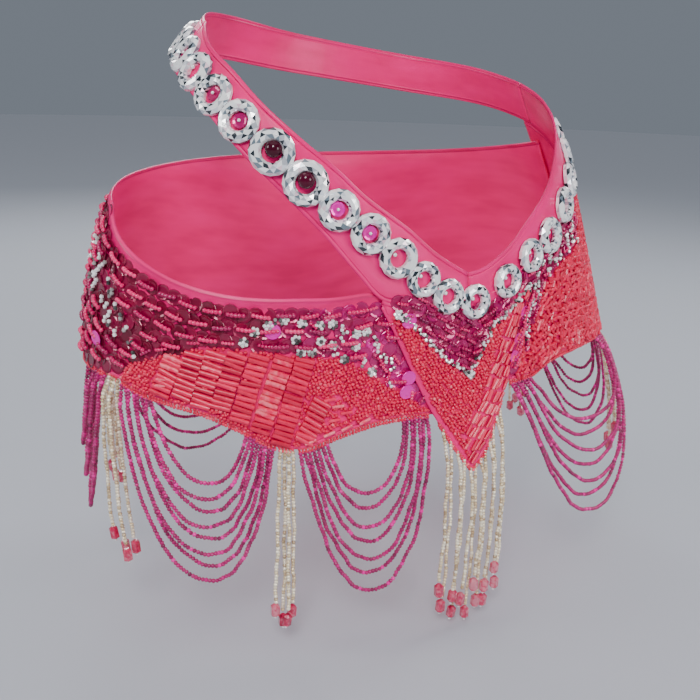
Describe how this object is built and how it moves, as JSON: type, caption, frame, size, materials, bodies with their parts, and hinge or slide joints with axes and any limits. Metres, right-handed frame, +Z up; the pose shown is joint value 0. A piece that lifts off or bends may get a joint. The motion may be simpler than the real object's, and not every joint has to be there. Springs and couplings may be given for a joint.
{
  "type": "belly dance hip belt",
  "caption": "Hip belt with a sloping ringed waist band, beaded hip panels, a front point, looped bead swags and crystal tassels.",
  "frame": {"origin": "middle of the hollow at hip height, where the wearer's hips hold the belt", "axes": "+Z up, the wearer's front faces -Y, and +X is towards the wearer's left"},
  "size_m": [0.3994, 0.2226, 0.3647],
  "materials": {
    "satin": "satin, covered with sequins and beads",
    "acrylic": "clear, faceted, silver behind",
    "magenta_beads": "shiny seed beads",
    "silver_beads": "silver-lined seed beads with pink crystal ends"
  },
  "bodies": {
    "root": {"front_point": "satin", "hip_binding_back": "satin", "hip_binding_right": "satin", "hip_panel_back": "satin", "hip_panel_left": "satin", "hip_panel_right": "satin", "ring_01": "acrylic", "ring_02": "acrylic", "ring_03": "acrylic", "ring_04": "acrylic", "ring_05": "acrylic", "ring_06": "acrylic", "ring_07": "acrylic", "ring_08": "acrylic", "ring_09": "acrylic", "ring_10": "acrylic", "ring_11": "acrylic", "ring_12": "acrylic", "ring_13": "acrylic", "ring_14": "acrylic", "ring_15": "acrylic", "ring_16": "acrylic", "ring_17": "acrylic", "ring_18": "acrylic", "ring_19": "acrylic", "ring_20": "acrylic", "ring_21": "acrylic", "ring_22": "acrylic", "ring_23": "acrylic", "ring_24": "acrylic", "ring_25": "acrylic", "ring_26": "acrylic", "ring_27": "acrylic", "ring_28": "acrylic", "ring_29": "acrylic", "ring_30": "acrylic", "ring_31": "acrylic", "ring_32": "acrylic", "ring_33": "acrylic", "ring_34": "acrylic", "ring_35": "acrylic", "swag_back_left": "magenta_beads", "swag_back_right": "magenta_beads", "swag_front_left": "magenta_beads", "swag_front_middle": "magenta_beads", "swag_front_right": "magenta_beads", "swag_side_left": "magenta_beads", "swag_side_right": "magenta_beads", "tassel_back_left": "silver_beads", "tassel_back_middle": "silver_beads", "tassel_back_right": "silver_beads", "tassel_front_middle": "silver_beads", "tassel_front_point": "silver_beads", "tassel_side_left": "silver_beads", "tassel_side_right": "silver_beads", "waist_band_back": "satin", "waist_band_left": "satin", "waist_band_right": "satin"}
  },
  "joints": []
}
